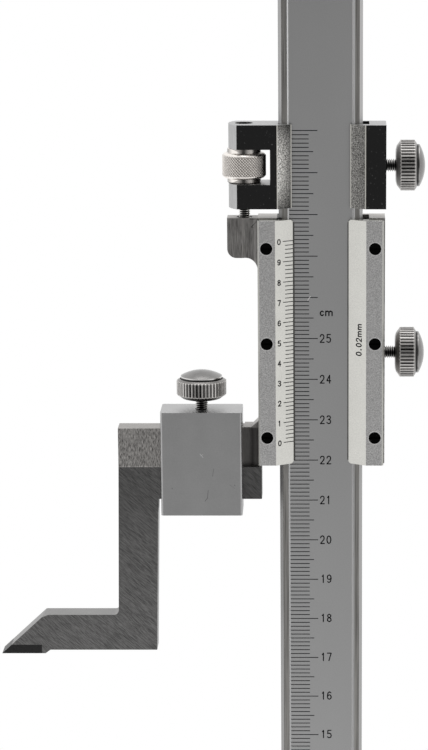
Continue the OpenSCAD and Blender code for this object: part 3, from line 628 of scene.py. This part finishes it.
def thread(name, node, crest, root, key, body, slot):
    """A real thread along a rod's own axis, run out at both ends, which replaces the plain rod."""
    lo, hi = box_mm(node)
    mid, own, (u, v) = axes_of(node, max)
    start, end = lo[own], hi[own]
    steps = int((end - start) / PITCH * THREAD_STEPS) + THREAD_STEPS
    flip = (u, v, own) in ((0, 1, 2), (1, 2, 0), (2, 0, 1))

    def point(turn, r, z):
        p = [0, 0, 0]
        p[u], p[v], p[own] = mid[u] + r * math.cos(turn), mid[v] + r * math.sin(turn), z
        return p

    verts, faces = [], []
    for i in range(steps + 1):
        for along, on_crest in THREAD_TURN:
            z = start - PITCH + PITCH * (i / THREAD_STEPS + along)
            near = min(z - start, end - z)
            r = min(crest if on_crest else root, root + max(near, 0.0) * RUN_OUT)
            verts.append(point(2 * math.pi * i / THREAD_STEPS, r, min(max(z, start), end)))
    n = len(THREAD_TURN)
    for i in range(steps):
        for j in range(n - 1):
            quad = (i * n + j, i * n + j + 1, (i + 1) * n + j + 1, (i + 1) * n + j)
            faces.append(quad[::-1] if flip else quad)
    for z, way in ((start, 1), (end, -1)):
        ring = list(range(len(verts), len(verts) + THREAD_STEPS))
        verts += [point(2 * math.pi * i / THREAD_STEPS * way, root, z) for i in range(THREAD_STEPS)]
        faces.append(ring[::-1] if flip else ring)
    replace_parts(add_mesh(name, verts, faces, key, body), node)


for lock in LOCKS:
    thread(lock + "_lock_thread", lock + "_lock_stud", *STUD_THREAD, lock + "_stud", lock + "_lock_screw",
           "screw_black")
thread("fine_thread", "fine_screw", *FINE_THREAD, "thread", "slider", "thread_steel")

# The fine nut. KNURL: depth of the grooves that rise to one side and to the other, and at the rows' ends.
KNURL = (0.17, 0.11)
KNURL_END = 0.06
TEETH = 46
COLLAR_R, COLLAR_H = 4.0, 1.05
NUT_BORE = 1.45
NUT_ROUND = 1.0


def knurled_nut():
    """The fine nut: smooth collars and shoulders, and a band of small pyramids between crossed grooves."""
    lo, hi = box_mm("fine_nut")
    mid = (lo + hi) / 2
    half, rim = (hi.z - lo.z) / 2, (hi.x - lo.x) / 2
    around = 4 * TEETH
    step = 2 * math.pi * rim / around
    shoulder = half - COLLAR_H
    rows = 2 * int((shoulder - 0.45 * NUT_ROUND) / step)
    band = rows * step / 2

    # Profile from bottom to top as (radius, height), with None as the radius of the knurl's rows
    top = []
    for i in range(7):
        t = math.radians(25 + 65 * i / 6)
        z = shoulder - NUT_ROUND + NUT_ROUND * math.sin(t)
        if z > band + 0.05:
            top.append((rim - NUT_ROUND + NUT_ROUND * math.cos(t) - 0.02, z))
    top += [(COLLAR_R + 0.05, shoulder), (COLLAR_R, shoulder + 0.06), (COLLAR_R, half - 0.12),
            (COLLAR_R - 0.12, half), (NUT_BORE, half)]
    first = len(top)
    profile = [(r, -z) for r, z in reversed(top)] + [(None, -band + i * step) for i in range(rows + 1)] + top

    verts, faces, smooth = [], [], []
    for j, (r, z) in enumerate(profile):
        for i in range(around):
            turn = 2 * math.pi * i / around
            rad = r
            if j in (first, first + rows):
                rad = rim - KNURL_END
            elif r is None:
                rad = rim - max(KNURL[0] if (i + j) % 4 == 0 else 0.0, KNURL[1] if (i - j) % 4 == 0 else 0.0)
            verts.append((mid.x + rad * math.cos(turn), mid.y + rad * math.sin(turn), mid.z + z))
    for j in range(len(profile) - 1):
        knurled = profile[j][0] is None and profile[j + 1][0] is None
        for i in range(around):
            i1 = (i + 1) % around
            a, b, c, d = j * around + i, j * around + i1, (j + 1) * around + i1, (j + 1) * around + i
            if not knurled:
                faces.append((a, b, c, d))
            elif (i + j + 1) % 4 == 0:
                faces += [(a, b, d), (b, c, d)]
            else:
                faces += [(a, b, c), (a, c, d)]
            smooth += [False, False] if knurled else [True]
    last = (len(profile) - 1) * around
    for i in range(around):
        i1 = (i + 1) % around
        faces.append((last + i, last + i1, i1, i))
        smooth.append(True)
    obj = add_mesh("fine_nut_knurled", verts, faces, "nut", "nut")
    obj.data.polygons.foreach_set("use_smooth", smooth)
    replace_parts(obj, "fine_nut")


knurled_nut()

# Engraved marks. Each character is a list of strokes in a box of 1 x 1, which the units' letters don't fill.
STROKES = {
    "0": [[(0.5, 1), (0.15, 0.88), (0, 0.6), (0, 0.4), (0.15, 0.12), (0.5, 0), (0.85, 0.12), (1, 0.4),
           (1, 0.6), (0.85, 0.88), (0.5, 1)]],
    "1": [[(0.2, 0.8), (0.55, 1), (0.55, 0)]],
    "2": [[(0.02, 0.75), (0.15, 0.93), (0.5, 1), (0.85, 0.93), (0.97, 0.72), (0.85, 0.5), (0, 0), (1, 0)]],
    "3": [[(0.02, 0.85), (0.3, 1), (0.75, 0.97), (0.93, 0.77), (0.75, 0.57), (0.4, 0.54), (0.8, 0.48),
           (1, 0.27), (0.8, 0.04), (0.35, 0), (0, 0.14)]],
    "4": [[(0.72, 0), (0.72, 1), (0, 0.3), (1, 0.3)]],
    "5": [[(0.93, 1), (0.12, 1), (0.05, 0.55), (0.45, 0.63), (0.85, 0.53), (1, 0.3), (0.85, 0.07),
           (0.4, 0), (0, 0.12)]],
    "6": [[(0.92, 0.88), (0.55, 1), (0.15, 0.85), (0, 0.45), (0.1, 0.12), (0.5, 0), (0.88, 0.1),
           (1, 0.32), (0.85, 0.54), (0.5, 0.6), (0.15, 0.5), (0.02, 0.35)]],
    "7": [[(0, 1), (1, 1), (0.4, 0)]],
    "8": [[(0.5, 0.54), (0.12, 0.66), (0.08, 0.86), (0.5, 1), (0.92, 0.86), (0.88, 0.66), (0.5, 0.54),
           (0.08, 0.4), (0.02, 0.14), (0.5, 0), (0.98, 0.14), (0.92, 0.4), (0.5, 0.54)]],
    "9": [[(0.08, 0.12), (0.45, 0), (0.85, 0.15), (1, 0.55), (0.9, 0.88), (0.5, 1), (0.12, 0.9),
           (0, 0.68), (0.15, 0.46), (0.5, 0.4), (0.85, 0.5), (0.98, 0.65)]],
    "c": [[(0.95, 0.52), (0.6, 0.64), (0.2, 0.55), (0, 0.32), (0.2, 0.08), (0.6, 0), (0.95, 0.12)]],
    "m": [[(0, 0), (0, 0.62)], [(0, 0.48), (0.25, 0.64), (0.5, 0.5), (0.5, 0)],
          [(0.5, 0.48), (0.75, 0.64), (1, 0.5), (1, 0)]],
    ".": [[(0.4, 0.02), (0.6, 0.02), (0.6, 0.12), (0.4, 0.12), (0.4, 0.02)]],
}
WIDTHS = {"m": 1.6, ".": 0.5, "1": 0.8, "c": 0.8}


class Marks:
    """Collects ribbons on one face and makes one mesh of them. A face is an origin and two directions."""

    def __init__(self, origin, u, v, lift=0.008):
        self.u, self.v = Vector(u).normalized(), Vector(v).normalized()
        self.o = Vector(origin) + self.u.cross(self.v) * lift
        self.verts, self.faces = [], []

    def add(self, points):
        """Puts points on the face, and gives the number of the first."""
        first = len(self.verts)
        self.verts += [self.o + self.u * a + self.v * b for a, b in points]
        return first

    def line(self, a, b, width):
        a, b = Vector(a), Vector(b)
        d = (b - a).normalized() * width / 2
        n = Vector((-d.y, d.x))
        first = self.add((a - n, b - n, b + n, a + n))
        self.faces.append(tuple(range(first, first + 4)))

    def disc(self, center, radius, count=8):
        first = self.add(circle(center, radius, count))
        self.faces.append(tuple(range(first, first + count)))

    def ring(self, center, inner, outer, count=32):
        first = self.add(circle(center, inner, count) + circle(center, outer, count))
        for i in range(count):
            j = (i + 1) % count
            self.faces.append((first + i, first + count + i, first + count + j, first + j))

    def glyphs(self, text, a, b, w, h, width, gap, turned=False):
        """Text of w x h characters whose lower left corner is (a, b); turned text runs up the face."""
        for ch in text:
            wide = w * WIDTHS.get(ch, 1.0)
            for stroke in STROKES[ch]:
                pts = [(x * wide, y * h) for x, y in stroke]
                pts = [(a - y, b + x) if turned else (a + x, b + y) for x, y in pts]
                for p, q in zip(pts, pts[1:]):
                    self.line(p, q, width)
                for p in pts:
                    self.disc(p, width / 2)
            if turned:
                b += wide + gap
            else:
                a += wide + gap

    def make(self, name, body, key="ink"):
        add_mesh(name, self.verts, self.faces, key, body)


# Column scale, in a face RECESS behind the rails
SCALE_ZERO = 53.68
SCALE_END = 300
LAST_NUMBER = 250
READING = 224.88
RAIL = 2.15
RECESS = 0.35
MARK_LONG, MARK_HALF, MARK_SHORT = 6.75, 5.75, 4.68
column_lo = box_mm("column")[0]
face_x, face_y = column_lo.x + RAIL + RECESS, column_lo.y + RECESS


def on_column(lift=0.008):
    return Marks((0, face_y, 0), (1, 0, 0), (0, 0, 1), lift)


def number_corner(mm):
    """Left edge of a number, and how far its foot lies below its line."""
    if mm < 100:
        return 0.65, 0.96
    return (0.10, 0.82) if mm < 200 else (-0.15, 0.93)


scale = on_column()
for mm in range(SCALE_END + 1):
    z = SCALE_ZERO + mm
    length = MARK_LONG if mm % 10 == 0 else MARK_HALF if mm % 5 == 0 else MARK_SHORT
    scale.line((face_x, z), (face_x + length, z), 0.21)
    if mm % 10 == 0 and 0 < mm <= LAST_NUMBER:
        left, drop = number_corner(mm)
        scale.glyphs(str(mm // 10), left, z - drop, 0.92, 1.92, 0.28, 0.66)
scale.glyphs("cm", -0.13, SCALE_ZERO + 255.60, 0.95, 1.72, 0.32, 0.55)
scale.make("scale_marks", "root")

# Vernier lines and numbers on the left plate's bevel, and the resolution on the right one's
BEVEL_W = 4.2
BEVEL_EDGE = 0.3
VERNIER_LINES = 51
VERNIER_STEP = 0.98
VERNIER_LONG, VERNIER_SHORT = 2.78, 2.18
ver_lo, ver_hi = box_mm("vernier_plate")
cov_lo, cov_hi = box_mm("cover_plate")
inner = Vector((ver_hi.x, ver_hi.y - BEVEL_EDGE, 0))
outer = Vector((ver_hi.x - BEVEL_W, ver_lo.y, 0))
slope_len = (inner - outer).length
vernier = Marks(outer, inner - outer, (0, 0, 1))
for i in range(VERNIER_LINES):
    z = SCALE_ZERO + READING + i * VERNIER_STEP
    length = VERNIER_LONG if i % 5 == 0 else VERNIER_SHORT
    vernier.line((slope_len - length, z), (slope_len, z), 0.19)
    if i % 5 == 0:
        vernier.glyphs(str(i // 5 % 10), 0.73, z - 0.68, 0.73, 1.22, 0.27, 0)
vernier.make("vernier_marks", "slider")

inner = Vector((cov_lo.x, cov_hi.y - BEVEL_EDGE, 0))
outer = Vector((cov_lo.x + BEVEL_W, cov_lo.y, 0))
resolution = Marks(inner, outer - inner, (0, 0, 1))
resolution.glyphs("0.02mm", 3.62, 300.0, 0.75, 1.45, 0.29, 0.50, True)
resolution.make("resolution_mark", "slider")

# Painted highlights: bright rings round the plates' screws
rims = Marks((0, ver_lo.y, 0), (1, 0, 0), (0, 0, 1), 0.006)
for plate in ("vernier_plate", "cover_plate"):
    lo, hi = box_mm(plate + "_screws")
    r = (hi.x - lo.x) / 2
    for z in (lo.z + r, (lo.z + hi.z) / 2, hi.z - r):
        rims.ring(((lo.x + hi.x) / 2, z), r + 0.05, r + 0.27)
rims.make("plate_screw_rims", "slider", "rim")

# A nick in the scale face, and a painted shadow: a dark strip beside each plate's inner edge, riding with the slider
nick = on_column(0.014)
nick.line((-3.17, 312.95), (-2.47, 314.02), 0.2)
nick.make("scale_nick", "root", "rim")
shadow_strip = on_column(0.05)
for x, width in ((ver_hi.x + 0.19, 0.38), (cov_lo.x - 0.13, 0.26)):
    shadow_strip.line((x, ver_lo.z + 0.7), (x, ver_hi.z - 0.7), width)
shadow_strip.make("plate_edge_shade", "slider", "shadow_strip")

# Camera, in metres: a little above the slider, looking down at the photograph's angle
CAMERA_AT = (0.004557, -0.710834, 0.438250)
LOOK_DOWN = 13.8552
scene = bpy.context.scene
cam = bpy.data.cameras.new("camera")
cam.lens = 143.70
cam.sensor_width = 36
cam.shift_x = -0.16777
cam.shift_y = 0.1673
cam.clip_start = 0.01
cam.clip_end = 50
camera = bpy.data.objects.new("camera", cam)
camera.location = CAMERA_AT
camera.rotation_euler = (math.radians(90 - LOOK_DOWN), 0, 0)
scene.collection.objects.link(camera)
scene.camera = camera
scene.view_settings.view_transform = "Standard"

# World: white all round, darker towards the reader and a little lighter there towards the table; white to the camera
world = bpy.data.worlds.new("studio")
scene.world = world
sky = Tree(world)
way = sky.split(sky.node("ShaderNodeTexCoord").outputs["Generated"])
blend = sky.node("ShaderNodeMix", data_type="FLOAT")
sky.put(blend.inputs[0], sky.ramp(way[1], -0.93, -0.45, smooth=True))
sky.put(blend.inputs[2], sky.ramp(way[2], -0.05, -0.36, 0.24, 0.66, smooth=True))
sky.put(blend.inputs[3], 0.95)
seen = sky.node("ShaderNodeLightPath").outputs["Is Camera Ray"]
light = sky.node("ShaderNodeBackground")
sky.put(light.inputs["Color"], (1, 1, 1, 1))
sky.put(light.inputs["Strength"], sky.math("MAXIMUM", blend.outputs[0], seen))
sky.link(light.outputs[0], sky.node("ShaderNodeOutputWorld").inputs[0])

# One soft lamp overhead, in metres
LAMP_AT, LAMP_AIM = Vector((0.0, 0.1, 1.3)), Vector((0, 0, 0.3))
lamp = bpy.data.lights.new("overhead", "AREA")
lamp.shape = "DISK"
lamp.size = 0.8
lamp.energy = 1.5
overhead = bpy.data.objects.new("overhead", lamp)
overhead.location = LAMP_AT
overhead.rotation_euler = (LAMP_AIM - LAMP_AT).to_track_quat("-Z", "Y").to_euler()
scene.collection.objects.link(overhead)

# Floor and backdrop in one sweep, in metres: pale, and white to the camera and in reflections
sweep_mat = bpy.data.materials.new("sweep")
paint = Tree(sweep_mat)
diffuse = paint.node("ShaderNodeBsdfDiffuse")
paint.put(diffuse.inputs[0], (0.8, 0.8, 0.8, 1))
white = paint.node("ShaderNodeEmission")
paint.put(white.inputs[0], (1, 1, 1, 1))
ray = paint.node("ShaderNodeLightPath").outputs
seen = paint.math("MAXIMUM", ray["Is Camera Ray"], ray["Is Glossy Ray"])
seen = paint.math("MAXIMUM", seen, ray["Is Transmission Ray"])
shown = paint.node("ShaderNodeMixShader")
for socket, source in zip(shown.inputs, (seen, diffuse.outputs[0], white.outputs[0])):
    paint.link(source, socket)
paint.link(shown.outputs[0], paint.node("ShaderNodeOutputMaterial").inputs[0])

SWEEP_FRONT, SWEEP_BACK, SWEEP_TOP, SWEEP_SIDE, SWEEP_R = -0.35, 3.0, 3.0, 3, 0.8
bend = SWEEP_BACK - SWEEP_R
profile = [(SWEEP_FRONT, 0.0), (bend, 0.0)]
profile += [(bend + SWEEP_R * math.sin(t), SWEEP_R - SWEEP_R * math.cos(t)) for t in (0.3, 0.6, 0.9, 1.2, 1.57)]
profile += [(SWEEP_BACK, SWEEP_TOP)]
sweep_verts = [(side, y, z) for y, z in profile for side in (-SWEEP_SIDE, SWEEP_SIDE)]
sweep_faces = [(2 * i, 2 * i + 1, 2 * i + 3, 2 * i + 2) for i in range(len(profile) - 1)]
sweep_mesh = bpy.data.meshes.new("sweep")
sweep_mesh.from_pydata(sweep_verts, [], sweep_faces)
sweep_mesh.polygons.foreach_set("use_smooth", [True] * len(sweep_faces))
sweep_mesh.materials.append(sweep_mat)
sweep = bpy.data.objects.new("sweep", sweep_mesh)
scene.collection.objects.link(sweep)
